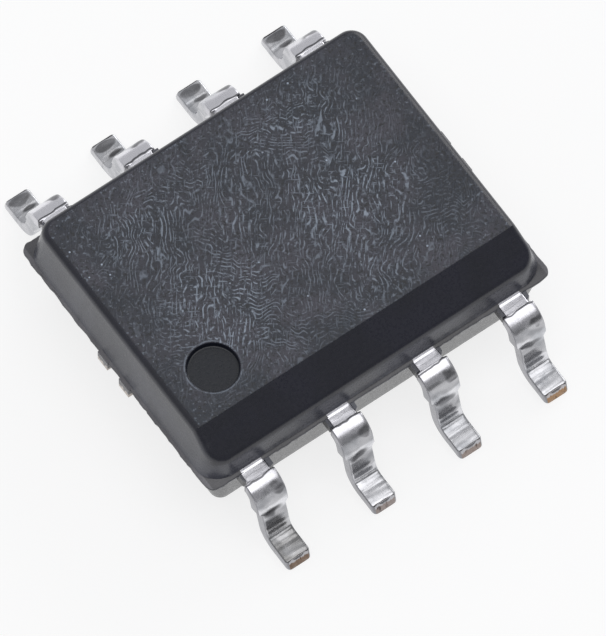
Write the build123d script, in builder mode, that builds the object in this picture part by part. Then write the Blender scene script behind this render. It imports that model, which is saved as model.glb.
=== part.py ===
from build123d import *
from math import cos, radians, sin, tan
import os

os.makedirs("parts", exist_ok=True)

# Frame: millimetres, X along the rows of pins, Y across from toe to toe, Z up from the board
# Pins 1 to 4 run along +X in the row at -Y, pins 5 to 8 run back along -X in the row at +Y

# Package outline
PITCH = 1.27  # pin to pin along a row
PINS_IN_ROW = 4
END_MARGIN = 0.545  # last pin of a row to the end of the moulding
BODY_Y = 3.90  # across the moulding, upper half at the parting line
LEAD_REACH = 1.05  # side of the moulding to the toe
HEIGHT = 1.70  # board to top face
STAND_OFF = 0.22  # board to underside of the moulding
ROW_L = (PINS_IN_ROW - 1) * PITCH
BODY_X = ROW_L + 2 * END_MARGIN
SPAN = BODY_Y + 2 * LEAD_REACH  # toe to toe

# Moulding
CORNER_R = 0.30  # upright corners at the parting line
LOWER_STEP = 0.04  # lower half stands out beyond the upper half
LEDGE = 0.06  # thin ledge stands out beyond the upper half
LEDGE_T = 0.05
LEDGE_CORNER_R = 0.14
UPPER_DRAFT = 8.0  # degrees from vertical
LOWER_DRAFT = 11.0
EDGE_R = 0.11  # round over the top edges
BEVEL_IN = 0.50  # side of the moulding to the upper edge of the bevel along pins 1 to 4
BEVEL_ANGLE = 34.0  # degrees below horizontal
CREASE_R = 0.03  # bevel's upper edge
UNDERSIDE_EDGE_R = 0.05
DIMPLE_R = 0.32  # mark of pin 1
DIMPLE_DEPTH = 0.08
DIMPLE_FROM_END = 0.75
DIMPLE_FROM_BEVEL = 0.55
DIMPLE_RIM_R = 0.02
EJECTOR_R = 0.45  # shallow ejector marks in the underside
EJECTOR_DEPTH = 0.03
EJECTOR_FROM_END = 1.15

# Lead frame strip
LEAD_T = 0.19  # thickness of the strip
FRAME_TOP = STAND_OFF + (HEIGHT - STAND_OFF + LEAD_T) / 2  # strip on the middle of the moulding
FRAME_BOTTOM = FRAME_TOP - LEAD_T
PARTING = FRAME_TOP  # the mould halves meet at the strip's upper face

# Formed lead, side view: shoulder, knee, leg, heel, foot
NECK = 0.19  # level run from the side of the moulding to the knee
KNEE_R = 0.10  # inside of the bend
LEG_ANGLE = 77.0  # degrees below horizontal
HEEL_R = 0.12  # inside of the bend
TOE_EDGE_R = 0.04

# Stamped lead, plan view: finger pad, neck, stub of the dam bar, leg
FINGER_GAP = 0.20  # paddle to the tip of the finger
PAD_L = 0.35
PAD_GAP = 0.47  # between the pads of the middle pins
CORNER_PAD_GAP = 0.165  # from the pad of a corner pin to its neighbour
CORNER_PAD_OUT = 0.195  # pad of a corner pin beyond its centre line
LEAD_W = 0.345
DAM_STUB = 0.0475  # stands out on each side of the lead
DAM_TAIL = 0.17  # stub runs past the knee
TOE_CORNER_R = 0.05
FLASH_W = 0.09  # flash beside the necks, out to the stub

# Die and the layer that holds it
DIE_X = 1.60
DIE_Y = 1.40
DIE_T = 0.28
ATTACH_MARGIN = 0.04  # squeezed out around the die
ATTACH_T = 0.03

# Paddle under the die, with two tie bars at each end
PADDLE_MARGIN_X = 0.35  # beyond the die
PADDLE_MARGIN_Y = 0.25
PADDLE_R = 0.10
DOWNSET = 0.20  # paddle below the leads
TIE_W = 0.20
TIE_Y = 0.22
TIE_FLAT = 0.20  # from the paddle to the foot of the slope
TIE_SLOPE = 0.25  # level length of the slope
TIE_PROUD = 0.03  # cut end stands out of the moulding

# Bond wires
WIRE_R = 0.0125
WIRE_FACETS = 6
BALL_R = 0.038
BALL_H = 0.025
STITCH_R = 0.040
STITCH_H = 0.025
LOOP_H = 0.14  # top of the loop above the die
LOOP_SPAN = 0.35  # level part of the loop, as a share of the wire's reach
BOND_FROM_CORNER = 0.15  # ball bonds inside the ends of the die
BOND_FROM_EDGE = 0.10
STITCH_IN = 0.15  # stitch bonds inside the edges of the pad

# Places that follow from the sizes
PADDLE_X = DIE_X + 2 * PADDLE_MARGIN_X
PADDLE_Y = DIE_Y + 2 * PADDLE_MARGIN_Y
PADDLE_TOP = FRAME_TOP - DOWNSET
DIE_BOTTOM = PADDLE_TOP + ATTACH_T
DIE_TOP = DIE_BOTTOM + DIE_T
FINGER_IN = PADDLE_Y / 2 + FINGER_GAP
KNEE_START = BODY_Y / 2 + NECK
DAM_W = LEAD_W + 2 * DAM_STUB
MIDDLE_PAD_W = PITCH - PAD_GAP
CORNER_PAD_IN = PITCH - MIDDLE_PAD_W / 2 - CORNER_PAD_GAP
BEVEL_TOP_Y = BEVEL_IN - BODY_Y / 2
DIMPLE_X = DIMPLE_FROM_END - BODY_X / 2
DIMPLE_Y = BEVEL_TOP_Y + DIMPLE_FROM_BEVEL
EJECTOR_X = BODY_X / 2 - EJECTOR_FROM_END
ROW_X = [i * PITCH - ROW_L / 2 for i in range(PINS_IN_ROW)]
PIN_PLACES = [(x, -1) for x in ROW_X] + [(x, 1) for x in reversed(ROW_X)]


def export(piece, label):
    """Name a finished piece and write its STEP file."""
    piece.label = label
    export_step(piece, f"parts/{label}.step")


def pad_reach(x):
    """How far the finger pad of the pin at x reaches inwards and outwards along its row."""
    if x in (ROW_X[0], ROW_X[-1]):
        return CORNER_PAD_IN, CORNER_PAD_OUT
    return MIDDLE_PAD_W / 2, MIDDLE_PAD_W / 2


def build_pin(x, row):
    """Lead at x in the row at row * Y: a bent strip trimmed to its stamped outline."""
    side_view = Plane(origin=(x, 0, 0), x_dir=(0, row, 0), z_dir=(row, 0, 0))
    plan_view = Plane(origin=(x, 0, 0), x_dir=(row, 0, 0), z_dir=(0, 0, 1))
    end = 1 if x > 0 else -1
    pad_in, pad_out = pad_reach(x)
    pad_shift = row * end * (pad_out - pad_in) / 2
    heel_r = HEEL_R + LEAD_T
    bend_drop = (KNEE_R + heel_r) * (1 - cos(radians(LEG_ANGLE)))
    leg_length = (FRAME_BOTTOM - bend_drop) / sin(radians(LEG_ANGLE))
    with BuildPart() as pin:
        with BuildSketch(side_view) as bent_strip:
            with BuildLine():
                shoulder = Line((FINGER_IN, FRAME_BOTTOM), (KNEE_START, FRAME_BOTTOM))
                knee = JernArc(shoulder @ 1, shoulder % 1, KNEE_R, -LEG_ANGLE)
                leg = PolarLine(knee @ 1, leg_length, direction=knee % 1)
                heel = JernArc(leg @ 1, leg % 1, heel_r, LEG_ANGLE)
                Line(heel @ 1, (SPAN / 2, 0))
                offset(amount=LEAD_T, side=Side.LEFT)
            make_face()
            toe = bent_strip.vertices().group_by(Axis.X)[-1]
            fillet(toe.sort_by(Axis.Y)[0], TOE_EDGE_R)
        extrude(amount=PITCH, both=True)
        with BuildSketch(plan_view) as stamping:
            with Locations((pad_shift, FINGER_IN)):
                Rectangle(pad_in + pad_out, PAD_L, align=(Align.CENTER, Align.MIN))
            with Locations((0, FINGER_IN)):
                Rectangle(LEAD_W, SPAN / 2 - FINGER_IN, align=(Align.CENTER, Align.MIN))
            fillet(stamping.vertices().group_by(Axis.Y)[-1], TOE_CORNER_R)
        extrude(amount=HEIGHT, mode=Mode.INTERSECT)
        # The knee is wider, where the dam bar was cut off
        with BuildSketch(side_view):
            with BuildLine():
                knee = JernArc((KNEE_START, FRAME_BOTTOM), (1, 0), KNEE_R, -LEG_ANGLE)
                PolarLine(knee @ 1, DAM_TAIL, direction=knee % 1)
                offset(amount=LEAD_T, side=Side.LEFT)
            make_face()
        extrude(amount=DAM_W / 2, both=True)
    return pin.part


def build_wire(x, row):
    """Gold wire from the die to the finger of the pin at x: ball, loop of three spans, stitch."""
    end = 1 if x > 0 else -1
    on_die = x / ROW_X[-1] * (DIE_X / 2 - BOND_FROM_CORNER)
    on_pad = x - end * (pad_reach(x)[0] - STITCH_IN)
    start = Vector(on_die, row * (DIE_Y / 2 - BOND_FROM_EDGE), 0)
    finish = Vector(on_pad, row * (FINGER_IN + STITCH_IN), 0)
    reach = finish - start
    upright = Plane(origin=start, x_dir=reach, z_dir=reach.cross(Vector(0, 0, 1)))
    crest = DIE_TOP + LOOP_H
    with BuildPart() as wire:
        with BuildSketch(Plane.XY.offset(DIE_TOP)):
            with Locations((start.X, start.Y)):
                Circle(BALL_R)
        extrude(amount=BALL_H)
        with BuildLine(upright) as loop:
            Polyline(
                (0, DIE_TOP + BALL_H),
                (0, crest),
                (LOOP_SPAN * reach.length, crest),
                (reach.length, FRAME_TOP + WIRE_R),
            )
        with BuildSketch(Plane(origin=loop.line @ 0, x_dir=reach, z_dir=(0, 0, 1))):
            RegularPolygon(WIRE_R, WIRE_FACETS)
        sweep(path=loop.line, transition=Transition.RIGHT)
        with BuildSketch(Plane.XY.offset(FRAME_TOP)):
            with Locations((finish.X, finish.Y)):
                Circle(STITCH_R)
        extrude(amount=STITCH_H)
    return wire.part


def bevel_crease(part):
    """Edge where the top face of the moulding turns down into the bevel."""
    return part.faces().sort_by(Axis.Z)[-1].edges().sort_by(Axis.Y)[0]


# Leads, stamped and formed from one strip, the first of the pieces moulded in
inserts = {}
for number, (x, row) in enumerate(PIN_PLACES, start=1):
    inserts[f"pin_{number}"] = build_pin(x, row)

# Paddle under the die, set down from the leads, on tie bars cut off at the end walls
with BuildPart() as paddle:
    with BuildSketch(Plane.XY.offset(PADDLE_TOP)):
        RectangleRounded(PADDLE_X, PADDLE_Y, PADDLE_R)
    extrude(amount=-LEAD_T)
    with BuildSketch(Plane.XZ.offset(-TIE_Y), Plane.XZ.offset(TIE_Y)):
        with BuildLine():
            Polyline(
                (PADDLE_X / 2 - LEAD_T, PADDLE_TOP),
                (PADDLE_X / 2 + TIE_FLAT, PADDLE_TOP),
                (PADDLE_X / 2 + TIE_FLAT + TIE_SLOPE, FRAME_TOP),
                (BODY_X / 2 + LEDGE + TIE_PROUD, FRAME_TOP),
            )
            offset(amount=LEAD_T, side=Side.RIGHT)
        make_face()
        mirror(about=Plane.YZ)
    extrude(amount=TIE_W / 2, both=True)

# Silver-filled epoxy between paddle and die
with BuildPart() as attach:
    with BuildSketch(Plane.XY.offset(PADDLE_TOP)):
        RectangleRounded(DIE_X + 2 * ATTACH_MARGIN, DIE_Y + 2 * ATTACH_MARGIN, ATTACH_MARGIN)
    extrude(amount=ATTACH_T)

# Silicon die
with BuildPart() as die:
    with BuildSketch(Plane.XY.offset(DIE_BOTTOM)):
        Rectangle(DIE_X, DIE_Y)
    extrude(amount=DIE_T)

# Bond wires, one to each pin
for number, (x, row) in enumerate(PIN_PLACES, start=1):
    inserts[f"bond_wire_{number}"] = build_wire(x, row)
inserts.update(die_paddle=paddle.part, die_attach=attach.part, die=die.part)

# Moulding around all of it
with BuildPart() as mould:
    with BuildSketch(Plane.XY.offset(PARTING)):
        RectangleRounded(BODY_X, BODY_Y, CORNER_R)
    extrude(amount=HEIGHT - PARTING, taper=UPPER_DRAFT)

    # Long bevel beside pins 1 to 4, its upper edge crisper than the others
    with BuildSketch(Plane.YZ):
        Polygon(
            (BEVEL_TOP_Y, HEIGHT),
            (-BODY_Y / 2, HEIGHT - BEVEL_IN * tan(radians(BEVEL_ANGLE))),
            (-BODY_Y / 2, HEIGHT),
            align=None,
        )
    extrude(amount=BODY_X, both=True, mode=Mode.SUBTRACT)
    crease = bevel_crease(mould).center()
    edges = mould.faces().sort_by(Axis.Z)[-1].edges() + mould.edges(Select.LAST)
    fillet([edge for edge in edges if (edge.center() - crease).length > EDGE_R], EDGE_R)
    fillet(bevel_crease(mould), CREASE_R)

    # Dimple of pin 1
    with BuildSketch(Plane.XY.offset(HEIGHT)):
        with Locations((DIMPLE_X, DIMPLE_Y)):
            Circle(DIMPLE_R)
    extrude(amount=-DIMPLE_DEPTH, mode=Mode.SUBTRACT)
    rim = mould.edges().sort_by_distance((DIMPLE_X, DIMPLE_Y, HEIGHT))[0]
    fillet(rim, DIMPLE_RIM_R)

    # Lower half, with shallow ejector marks underneath
    with BuildSketch(Plane.XY.offset(PARTING)):
        RectangleRounded(BODY_X + 2 * LOWER_STEP, BODY_Y + 2 * LOWER_STEP, CORNER_R)
    extrude(amount=STAND_OFF - PARTING, taper=LOWER_DRAFT)
    fillet(mould.faces().sort_by(Axis.Z)[0].edges(), UNDERSIDE_EDGE_R)
    with BuildSketch(Plane.XY.offset(STAND_OFF)):
        with Locations((-EJECTOR_X, 0), (EJECTOR_X, 0)):
            Circle(EJECTOR_R)
    extrude(amount=EJECTOR_DEPTH, mode=Mode.SUBTRACT)

    # Thin ledge where the halves of the mould meet
    with BuildSketch(Plane.XY.offset(PARTING)):
        RectangleRounded(BODY_X + 2 * LEDGE, BODY_Y + 2 * LEDGE, LEDGE_CORNER_R)
    extrude(amount=-LEDGE_T)

    # Flash left between the moulding and the dam bar, on both sides of each neck
    flash_in = BODY_Y / 2 - LEDGE
    with BuildSketch(Plane.XY.offset(PARTING)):
        for x, row in PIN_PLACES:
            for side in (-1, 1):
                flash_x = x + side * (LEAD_W + FLASH_W) / 2
                with Locations((flash_x, row * (flash_in + KNEE_START) / 2)):
                    Rectangle(FLASH_W, KNEE_START - flash_in)
    extrude(amount=-LEAD_T)

    # Room for the lead frame, the die and the wires, face to face with them
    for piece in inserts.values():
        add(piece, mode=Mode.SUBTRACT)

for label, piece in inserts.items():
    export(piece, label)
export(mould.part, "mould_body")
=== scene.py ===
import math

import bpy
import numpy as np
from mathutils import Matrix, Vector


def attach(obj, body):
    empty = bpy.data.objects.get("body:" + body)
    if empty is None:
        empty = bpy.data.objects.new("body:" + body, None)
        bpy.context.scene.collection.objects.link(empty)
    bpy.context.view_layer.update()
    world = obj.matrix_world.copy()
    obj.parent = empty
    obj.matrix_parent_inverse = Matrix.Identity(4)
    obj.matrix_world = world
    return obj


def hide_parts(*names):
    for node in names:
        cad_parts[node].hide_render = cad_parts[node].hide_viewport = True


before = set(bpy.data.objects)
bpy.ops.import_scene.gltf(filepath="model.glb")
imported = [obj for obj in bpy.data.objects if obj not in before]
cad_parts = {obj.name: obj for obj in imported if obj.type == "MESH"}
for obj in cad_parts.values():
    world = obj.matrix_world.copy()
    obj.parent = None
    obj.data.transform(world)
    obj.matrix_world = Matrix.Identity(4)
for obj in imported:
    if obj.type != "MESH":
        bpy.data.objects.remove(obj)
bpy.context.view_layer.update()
MM = 0.001


# Camera
# A long lens a quarter of a metre away, over the corner of pin 1. The package fills the frame and
# sits a little left of and above its middle.
VIEW_AZIMUTH = math.radians(-35.4)
VIEW_ELEVATION = math.radians(64.75)
VIEW_DISTANCE = 240.0
PIXELS_PER_MM = 83.0
FRAME_HEIGHT = 636
AIM = Vector((0.0, 0.0, 0.93))
AIM_RIGHT_OF_MIDDLE = -17.6
AIM_ABOVE_MIDDLE = 53.0

back = Vector((
    math.sin(VIEW_AZIMUTH) * math.cos(VIEW_ELEVATION),
    -math.cos(VIEW_AZIMUTH) * math.cos(VIEW_ELEVATION),
    math.sin(VIEW_ELEVATION),
))
right = Vector((math.cos(VIEW_AZIMUTH), math.sin(VIEW_AZIMUTH), 0.0))
up = back.cross(right)
middle = AIM - (right * AIM_RIGHT_OF_MIDDLE + up * AIM_ABOVE_MIDDLE) / PIXELS_PER_MM
eye = (middle + back * VIEW_DISTANCE) * MM

lens = bpy.data.cameras.new("camera")
lens.sensor_width = 36.0
lens.lens = PIXELS_PER_MM * VIEW_DISTANCE * lens.sensor_width / FRAME_HEIGHT
lens.clip_start = 0.02
lens.clip_end = 20.0
camera = bpy.data.objects.new("camera", lens)
camera.matrix_world = Matrix((
    (right.x, up.x, back.x, eye.x),
    (right.y, up.y, back.y, eye.y),
    (right.z, up.z, back.z, eye.z),
    (0.0, 0.0, 0.0, 1.0),
))
bpy.context.collection.objects.link(camera)
bpy.context.scene.camera = camera
bpy.context.scene.view_settings.view_transform = "Standard"


# Nodes
# Wherever these take a value or a colour, it may be fixed or come out of another node.


def part_of(tree, kind, at=None, **settings):
    """New node of one kind, with its settings and what goes into its named inputs."""
    made = tree.nodes.new(kind)
    for key, value in settings.items():
        setattr(made, key, value)
    for name, value in (at or {}).items():
        if isinstance(value, bpy.types.NodeSocket):
            tree.links.new(value, made.inputs[name])
        else:
            made.inputs[name].default_value = value
    return made


def emptied(owner):
    """Node tree of a new material or world, with nothing in it."""
    owner.use_nodes = True
    owner.node_tree.nodes.clear()
    return owner.node_tree


def sums(tree, operation, first, second=0.0):
    """One step of arithmetic."""
    return part_of(tree, "ShaderNodeMath", {0: first, 1: second}, operation=operation).outputs[0]


def times(tree, first, second):
    """Product of two values."""
    return sums(tree, "MULTIPLY", first, second)


def greatest(tree, *values):
    """The largest of several values."""
    most = values[0]
    for value in values[1:]:
        most = sums(tree, "MAXIMUM", most, value)
    return most


def apart(tree, value, at=0.0):
    """Distance of a value from a fixed one."""
    return sums(tree, "ABSOLUTE", sums(tree, "SUBTRACT", value, at))


def axes_of(tree, vector):
    """The three parts of a vector."""
    return part_of(tree, "ShaderNodeSeparateXYZ", {0: vector}).outputs


def ramp(tree, value, low, high, to_low=0.0, to_high=1.0):
    """Value carried from low..high to to_low..to_high, with smooth ends."""
    return part_of(tree, "ShaderNodeMapRange", {
        "Value": value, "From Min": low, "From Max": high, "To Min": to_low, "To Max": to_high,
    }, interpolation_type="SMOOTHSTEP").outputs["Result"]


def blended(tree, amount, first, second):
    """Colour first turned into colour second by amount."""
    inputs = {"Factor": amount, "A": first, "B": second}
    return part_of(tree, "ShaderNodeMix", inputs, data_type="RGBA").outputs["Result"]


def scaled_place(tree, scale=1.0, turn=0.0):
    """Object coordinates turned about Z by turn, then in units of one over scale millimetres. The scale
    is one number, or one for each axis."""
    scales = scale if isinstance(scale, tuple) else (scale,) * 3
    place = part_of(tree, "ShaderNodeTexCoord").outputs["Object"]
    return part_of(tree, "ShaderNodeMapping", {
        "Vector": place, "Rotation": (0.0, 0.0, -turn), "Scale": tuple(MM / value for value in scales),
    }, vector_type="TEXTURE").outputs["Vector"]


def noise(tree, scale, detail=3.0, roughness=0.55, turn=0.0, warp=0.0):
    """Fractal noise with scale cells to the millimetre, from 0 to 1."""
    return part_of(tree, "ShaderNodeTexNoise", {
        "Vector": scaled_place(tree, scale, turn), "Scale": 1.0, "Detail": detail,
        "Roughness": roughness, "Distortion": warp,
    }).outputs["Fac"]


def new_finish(name, metallic=0.0):
    """New finish with an untouched shader: the material, its tree and the shader."""
    finish = bpy.data.materials.new(name)
    tree = emptied(finish)
    shader = part_of(tree, "ShaderNodeBsdfPrincipled", {"Metallic": metallic})
    part_of(tree, "ShaderNodeOutputMaterial", {"Surface": shader.outputs[0]})
    return finish, tree, shader


def dress(tree, shader, colour, roughness):
    """Colour and roughness of a finish."""
    tree.links.new(colour, shader.inputs["Base Color"])
    tree.links.new(roughness, shader.inputs["Roughness"])


def relief(tree, shader, height, depth, after=None):
    """Bump of depth micrometres from a height of 0 to 1, on top of the bump after."""
    inputs = {"Strength": 1.0, "Distance": depth * 1e-6, "Height": height}
    if after is not None:
        inputs["Normal"] = after
    bump = part_of(tree, "ShaderNodeBump", inputs).outputs["Normal"]
    tree.links.new(bump, shader.inputs["Normal"])
    return bump


# Table and light
# A pale table under the package, a large soft lamp above and behind it, and pale surroundings.
# Seen directly or mirrored the table is white, and it keeps the shadow of the package.
WHITE = (1.0, 1.0, 1.0, 1.0)
TABLE_HALF = 0.6
TABLE_DROP = 2e-6
TABLE_COLOUR = (0.26, 0.26, 0.262, 1.0)
TABLE_LIFT = 0.784
SKY_COLOUR = (0.97, 0.98, 1.0, 1.0)
SKY_FRONT = 0.26
SKY_BACK = 0.52


def table_paint():
    """Matt pale paint that looks white to the eye and in a mirror, darker only by its shadow."""
    paint = bpy.data.materials.new("table_paint")
    tree = emptied(paint)
    paint.cycles.emission_sampling = "NONE"
    ray = part_of(tree, "ShaderNodeLightPath").outputs
    seen = greatest(tree, ray["Is Camera Ray"], ray["Is Glossy Ray"], ray["Is Transmission Ray"])
    glow = {"Color": WHITE, "Strength": times(tree, seen, TABLE_LIFT)}
    both = part_of(tree, "ShaderNodeAddShader", {
        0: part_of(tree, "ShaderNodeBsdfDiffuse", {"Color": TABLE_COLOUR}).outputs[0],
        1: part_of(tree, "ShaderNodeEmission", glow).outputs[0],
    })
    part_of(tree, "ShaderNodeOutputMaterial", {"Surface": both.outputs[0]})
    return paint


table = bpy.data.objects.new("table", bpy.data.meshes.new("table"))
table_corners = [(a * TABLE_HALF, b * TABLE_HALF, -TABLE_DROP)
                 for a, b in ((-1, -1), (1, -1), (1, 1), (-1, 1))]
table.data.from_pydata(table_corners, [], [(0, 1, 2, 3)])
table.data.materials.append(table_paint())
bpy.context.collection.objects.link(table)

sky = bpy.data.worlds.new("sky")
sky_tree = emptied(sky)
sky_way = part_of(sky_tree, "ShaderNodeTexCoord").outputs["Generated"]
sky_level = ramp(sky_tree, axes_of(sky_tree, sky_way)[1], -0.8, 0.8, SKY_FRONT, SKY_BACK)
sky_mix = part_of(sky_tree, "ShaderNodeMixShader", {
    0: part_of(sky_tree, "ShaderNodeLightPath").outputs["Is Camera Ray"],
    1: part_of(sky_tree, "ShaderNodeBackground", {"Color": SKY_COLOUR, "Strength": sky_level}).outputs[0],
    2: part_of(sky_tree, "ShaderNodeBackground", {"Color": WHITE, "Strength": 1.0}).outputs[0],
})
part_of(sky_tree, "ShaderNodeOutputWorld", {"Surface": sky_mix.outputs[0]})
bpy.context.scene.world = sky


def softbox(name, at, size_x, size_y, watts):
    """Rectangular lamp at a point in metres, facing the package."""
    light = bpy.data.lights.new(name, "AREA")
    light.shape = "RECTANGLE"
    light.size = size_x
    light.size_y = size_y
    light.energy = watts
    holder = bpy.data.objects.new(name, light)
    holder.location = at
    holder.rotation_euler = Vector(at).to_track_quat("Z", "Y").to_euler()
    bpy.context.collection.objects.link(holder)


softbox("lamp_above", (0.0, -0.07, 0.45), 0.50, 0.40, 0.72)
softbox("lamp_beside", (0.42, 0.20, 0.20), 0.36, 0.24, 0.55)


# Die paddle and tie bars
# Stamped from the same copper strip as the leads and set down below them. The tie bars were
# sheared off at the end walls, where their bare ends show.
COPPER = (0.62, 0.36, 0.22, 1.0)
COPPER_DULL = (0.44, 0.26, 0.17, 1.0)
SHEARED = (0.50, 0.45, 0.41, 1.0)
RESIN_SMEAR = (0.19, 0.185, 0.20, 1.0)


def strip_finish():
    """Rolled copper strip, dulled in patches, with grey sheared metal at the ends of the tie bars and a
    smear of resin on their upper edges."""
    finish, tree, shader = new_finish("copper_strip", metallic=1.0)
    patches = ramp(tree, noise(tree, 2.5, detail=4.0), 0.35, 0.7)
    rolled = noise(tree, (3.0, 70.0, 70.0), detail=2.0)
    tint = blended(tree, patches, COPPER, COPPER_DULL)
    place = axes_of(tree, scaled_place(tree))
    at_end = ramp(tree, apart(tree, place[0]), 2.40, 2.44)
    tint = blended(tree, at_end, tint, SHEARED)
    patchy = ramp(tree, noise(tree, 14.0, detail=4.0), 0.3, 0.7, -0.05, 0.05)
    smear = ramp(tree, sums(tree, "ADD", place[2], patchy), 0.91, 0.95)
    smear = times(tree, smear, at_end)
    tree.links.new(sums(tree, "SUBTRACT", 1.0, smear), shader.inputs["Metallic"])
    tint = blended(tree, smear, tint, RESIN_SMEAR)
    dress(tree, shader, tint, ramp(tree, rolled, 0.2, 0.8, 0.24, 0.42))
    relief(tree, shader, rolled, 1.2)
    return finish


def refinish(node, finish):
    """A CAD piece keeps its shape and takes the finish."""
    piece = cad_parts[node]
    piece.data.materials.clear()
    piece.data.materials.append(finish)


refinish("die_paddle", strip_finish())


# Die and the layer that holds it
# A sawn square of silicon, pressed into a thin bed of silver-filled epoxy that squeezed out
# a little around it. Both are sealed in the moulding.
SILICON = (0.16, 0.17, 0.21, 1.0)
SILICON_BLUE = (0.10, 0.15, 0.24, 1.0)
SILVER_EPOXY = (0.50, 0.50, 0.49, 1.0)
SILVER_FLAKE = (0.72, 0.72, 0.71, 1.0)


def silicon_finish():
    """Polished silicon with blocks of slightly different tint."""
    finish, tree, shader = new_finish("silicon", metallic=0.7)
    cells = {"Vector": scaled_place(tree, 6.0), "Scale": 1.0}
    blocks = part_of(tree, "ShaderNodeTexVoronoi", cells, distance="CHEBYCHEV")
    lines = noise(tree, (60.0, 4.0, 4.0), detail=2.0)
    tone = times(tree, blocks.outputs["Distance"], lines)
    tint = blended(tree, ramp(tree, tone, 0.05, 0.35), SILICON, SILICON_BLUE)
    dress(tree, shader, tint, ramp(tree, lines, 0.3, 0.7, 0.12, 0.24))
    relief(tree, shader, lines, 0.3)
    return finish


def epoxy_finish():
    """Grey epoxy full of silver flakes."""
    finish, tree, shader = new_finish("silver_epoxy", metallic=0.35)
    flakes = noise(tree, 90.0, detail=2.0)
    tint = blended(tree, ramp(tree, flakes, 0.45, 0.65), SILVER_EPOXY, SILVER_FLAKE)
    dress(tree, shader, tint, ramp(tree, flakes, 0.3, 0.7, 0.62, 0.38))
    relief(tree, shader, flakes, 1.5)
    return finish


refinish("die", silicon_finish())
refinish("die_attach", epoxy_finish())


# Bond wires
# Fine gold wire, melted to a ball on the die, looped over its edge and stitched to the finger
# of each lead.
GOLD = (0.94, 0.70, 0.30, 1.0)
GOLD_DEEP = (0.80, 0.53, 0.19, 1.0)


def gold_finish():
    """Drawn gold with faint die lines."""
    finish, tree, shader = new_finish("gold_wire", metallic=1.0)
    drawn = noise(tree, (120.0, 120.0, 25.0), detail=2.0)
    tint = blended(tree, ramp(tree, drawn, 0.3, 0.7), GOLD, GOLD_DEEP)
    dress(tree, shader, tint, ramp(tree, drawn, 0.3, 0.7, 0.16, 0.30))
    relief(tree, shader, drawn, 0.3)
    return finish


wire_gold = gold_finish()
for number in range(1, 9):
    refinish(f"bond_wire_{number}", wire_gold)


# Leads
# Eight legs of copper strip with a matt tin coat: a level shoulder, a knee with the stub of the
# dam bar, a steep leg, a heel and a short foot. The toe was cut after plating and shows copper.
STRIP_T = 0.19
STRIP_TOP = 1.055
FINGER_TIP = 1.15
PAD_L = 0.35
PITCH = 1.27
MIDDLE_PAD = (0.40, 0.40)
CORNER_PAD = (0.705, 0.195)
LEG_HALF = 0.1725
STUB_HALF = 0.22
STUB_TAIL = 0.17
KNEE_AT = 2.14
KNEE_IN_R = 0.10
HEEL_IN_R = 0.12
LEG_SLOPE = math.radians(77.0)
TOE_AT = 3.0
TOE_ROUND = 0.075
TOE_LEAN = 0.055
SECTION_POWER = 0.16
LEAD_ROWS = 210
LEAD_TURNS = 56


def centre_line(rows):
    """Middle of the strip in side view: straight shoulder, arc down over the knee, straight leg, arc up
    through the heel, straight foot. Returns the distances out and up, the turn of the strip and the run
    at each row, and the runs at which the parts end."""
    half_t = STRIP_T / 2
    knee_r = KNEE_IN_R + half_t
    heel_r = HEEL_IN_R + half_t
    level = STRIP_TOP - half_t
    drop = (knee_r + heel_r) * (1 - math.cos(LEG_SLOPE))
    leg = (level - half_t - drop) / math.sin(LEG_SLOPE)
    reach = (knee_r + heel_r) * math.sin(LEG_SLOPE) + leg * math.cos(LEG_SLOPE)
    runs = np.array([KNEE_AT - FINGER_TIP, knee_r * LEG_SLOPE, leg, heel_r * LEG_SLOPE,
                     TOE_AT - KNEE_AT - reach])
    ends = np.concatenate([[0.0], np.cumsum(runs)])
    run = rows * ends[-1]

    def slope(at):
        in_knee = np.clip((at - ends[1]) / runs[1], 0, 1)
        in_heel = np.clip((at - ends[3]) / runs[3], 0, 1)
        return LEG_SLOPE * (in_knee - in_heel)

    fine = np.linspace(0, ends[-1], 6001)
    fine_bend = slope(fine)
    step = fine[1] - fine[0]
    mid_bend = (fine_bend[1:] + fine_bend[:-1]) / 2
    out = FINGER_TIP + np.concatenate([[0.0], np.cumsum(np.cos(mid_bend) * step)])
    height = level - np.concatenate([[0.0], np.cumsum(np.sin(mid_bend) * step)])
    return np.interp(run, fine, out), np.interp(run, fine, height), slope(run), run, ends


# Runs at which the parts of the lead end. Past the knee's start: where leg, heel, foot and toe stand.
lead_ends = centre_line(np.linspace(0, 1, 3))[-1]
LEG_RUN, HEEL_RUN, FLAT_RUN, TOE_RUN = (float(end - lead_ends[1]) for end in lead_ends[2:])


def lead_rows():
    """Shares of the lead's length at which a section stands: even, closer at its steps and at the toe."""
    total = lead_ends[-1]
    even = np.linspace(0, total, LEAD_ROWS)
    beside = np.array([-0.012, -0.004, 0.004, 0.012])
    steps = np.concatenate([beside + at for at in (PAD_L, lead_ends[1], lead_ends[2] + STUB_TAIL)])
    toe = total - TOE_ROUND * (1 - np.sin(np.linspace(0, math.pi / 2, 9)))
    tip = 0.02 * (1 - np.cos(np.linspace(0, math.pi / 2, 6)))
    rows = np.concatenate([even, steps, toe, tip])
    return np.unique(np.round(rows, 5)) / total


def dent(run, across, at_run, at_across, long, wide):
    """Shallow round dent: one at its middle, nil beyond, by the squared cosine of the distance."""
    far = np.hypot((run - at_run) / long, (across - at_across) / wide)
    return np.cos(np.clip(far, 0, 1) * math.pi / 2) ** 2


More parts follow.
